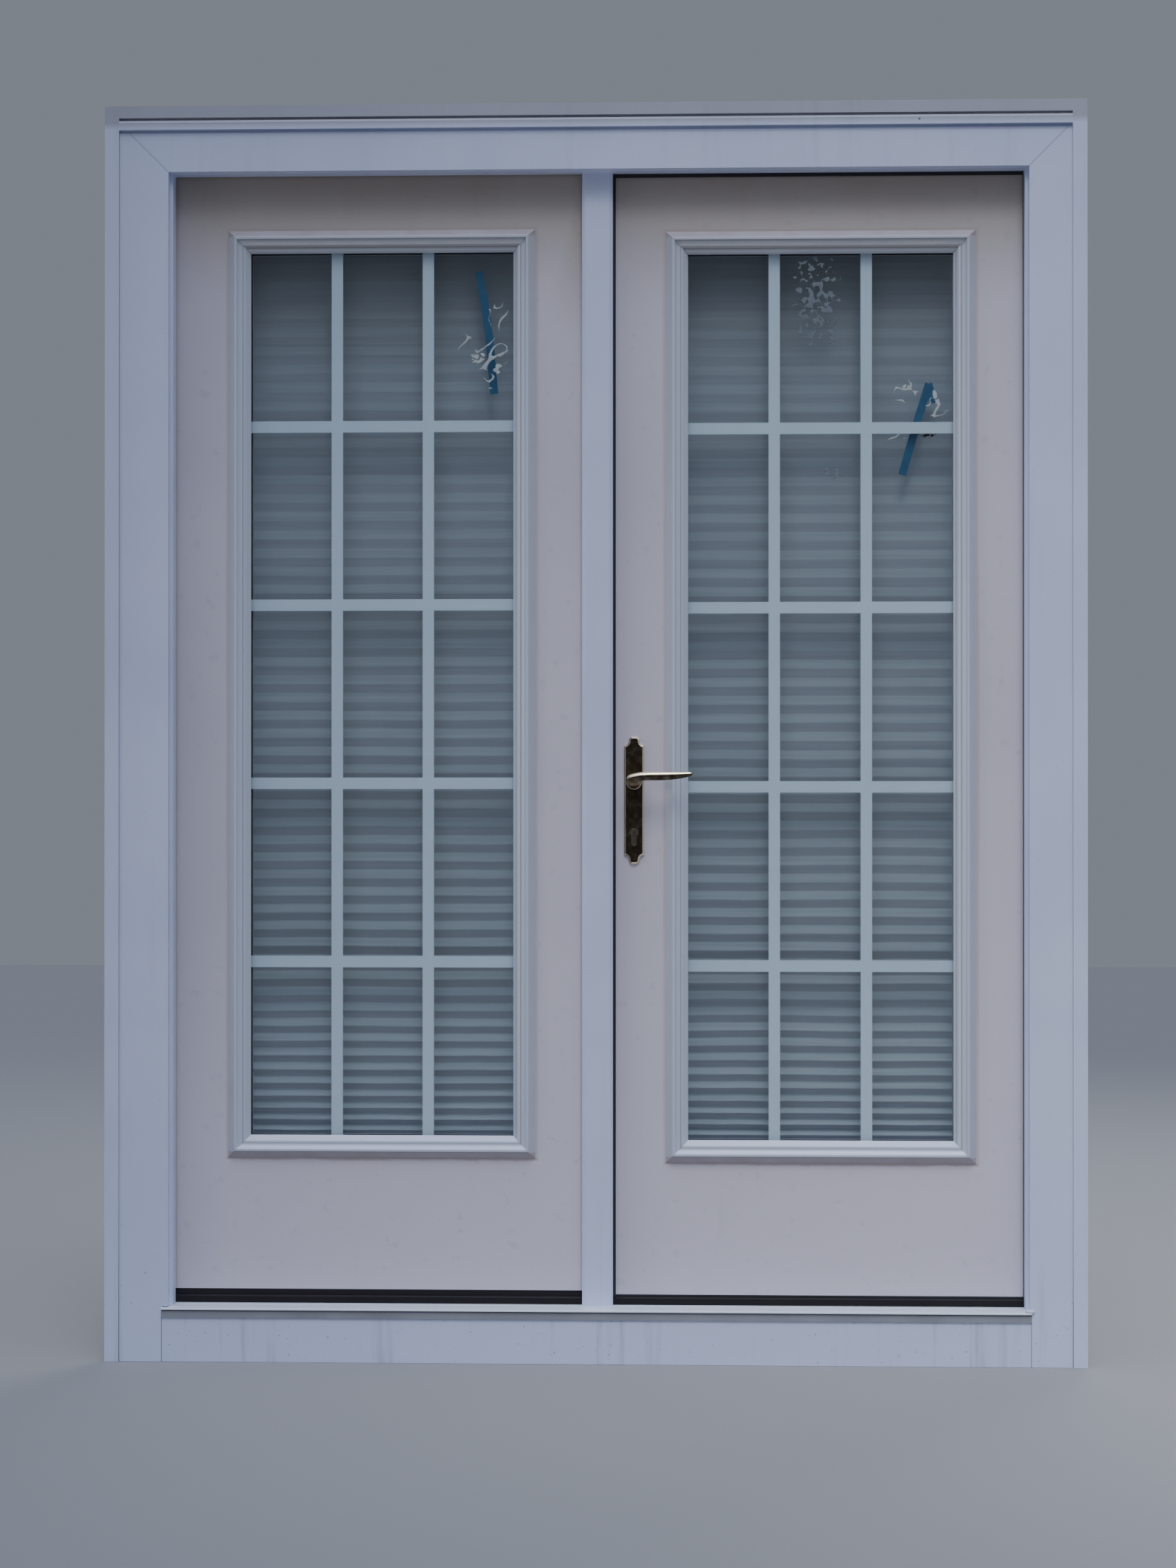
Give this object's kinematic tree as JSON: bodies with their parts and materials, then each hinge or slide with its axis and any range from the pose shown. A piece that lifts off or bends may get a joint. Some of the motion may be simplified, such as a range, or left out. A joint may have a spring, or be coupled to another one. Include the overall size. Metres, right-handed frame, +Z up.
{
  "type": "french doors",
  "caption": "White french doors in their frame: a fixed leaf and an inward opening leaf with grille lites, pleated shades, brass lever set, casings, sill and apron.",
  "frame": {"origin": "on the wall's outer face, which is the back of the casings, at the foot of the casings and under the middle of the mullion", "axes": "+X to the right seen from outside, +Y into the house, +Z up"},
  "size_m": [1.7666, 0.1635, 2.2668],
  "materials": {
    "trim_paint": "satin white paint",
    "leaf_paint": "semi-gloss white paint on a smooth skin",
    "lite_frame": "white moulded plastic",
    "grille": "white, between the panes",
    "glass": "clear float glass",
    "spacer": "dull",
    "seal": "matt dark foam",
    "threshold": "dark brown",
    "sill": "mill, weathered pale",
    "sill_wood": "grey, painted",
    "shade": "pleated, blue grey",
    "shade_rail": "pale grey",
    "brass": "polished, aged dark in places",
    "steel": "zinc plated"
  },
  "bodies": {
    "frame": {"left_jamb": "trim_paint", "right_jamb": "trim_paint", "head_jamb": "trim_paint", "centre_mullion": "trim_paint", "strike_plate": "brass", "sill_base": "sill_wood", "sill_deck": "sill", "threshold_cap": "threshold", "apron_board": "trim_paint", "left_casing": "trim_paint", "right_casing": "trim_paint", "head_casing": "trim_paint", "drip_cap": "trim_paint", "left_trim": "trim_paint", "right_trim": "trim_paint", "head_trim": "trim_paint", "hinge_seal": "seal", "latch_seal": "seal", "head_seal": "seal", "fixed_leaf_gasket": "seal", "fixed_leaf_block": "threshold", "fixed_leaf_shims": "sill_wood", "hinge_frame_leaves": "brass", "fixed_slab": "leaf_paint", "fixed_outer_lite_frame": "lite_frame", "fixed_inner_lite_frame": "lite_frame", "fixed_glass_panes": "glass", "fixed_glazing_tapes": "seal", "fixed_glass_spacer": "spacer", "fixed_grille_bars": "grille", "fixed_shade_headrail": "shade_rail", "fixed_shade_fabric": "shade", "fixed_shade_bottom_rail": "shade_rail"},
    "active_leaf": {"active_slab": "leaf_paint", "active_outer_lite_frame": "lite_frame", "active_inner_lite_frame": "lite_frame", "active_glass_panes": "glass", "active_glazing_tapes": "seal", "active_glass_spacer": "spacer", "active_grille_bars": "grille", "active_shade_headrail": "shade_rail", "active_shade_fabric": "shade", "active_shade_bottom_rail": "shade_rail", "door_sweep": "seal", "hinge_door_leaves": "brass", "lock_case": "steel", "lock_faceplate": "brass", "lock_cylinder": "brass", "outer_plate": "brass", "inner_plate": "brass", "through_bolts": "brass"},
    "levers": {"outer_lever": "brass", "inner_lever": "brass", "spindle": "steel", "follower": "steel"},
    "latch": {"latch_bolt": "brass"},
    "deadbolt": {"deadbolt": "steel"},
    "thumbturn": {"thumbturn": "brass"}
  },
  "joints": [
    {"name": "leaf_hinge", "type": "hinge", "parent": "frame", "child": "active_leaf", "pos_m": [0.7795, 0.0888, 0.1185], "axis": [0, 0, -1], "range_deg": [0, 100]},
    {"name": "lever_turn", "type": "hinge", "parent": "active_leaf", "child": "levers", "pos_m": [0.066, 0.037, 1.0465], "axis": [0, 1, 0], "range_deg": [0, 40], "stiffness_Nm_per_rad": 1.2, "springref_deg": -11.46},
    {"name": "latch_slide", "type": "slide", "parent": "active_leaf", "child": "latch", "axis": [1, 0, 0], "range_m": [0, 0.0111]},
    {"name": "thumb_turn", "type": "hinge", "parent": "active_leaf", "child": "thumbturn", "pos_m": [0.066, 0.037, 0.9545], "axis": [0, 1, 0], "range_deg": [0, 90]},
    {"name": "deadbolt_slide", "type": "slide", "parent": "active_leaf", "child": "deadbolt", "axis": [-1, 0, 0], "range_m": [0, 0.0131]}
  ],
  "couplings": [
    {"joint": "latch_slide", "follows": "lever_turn", "m_per_rad": 0.015756},
    {"joint": "deadbolt_slide", "follows": "thumb_turn", "m_per_rad": 0.008276}
  ]
}
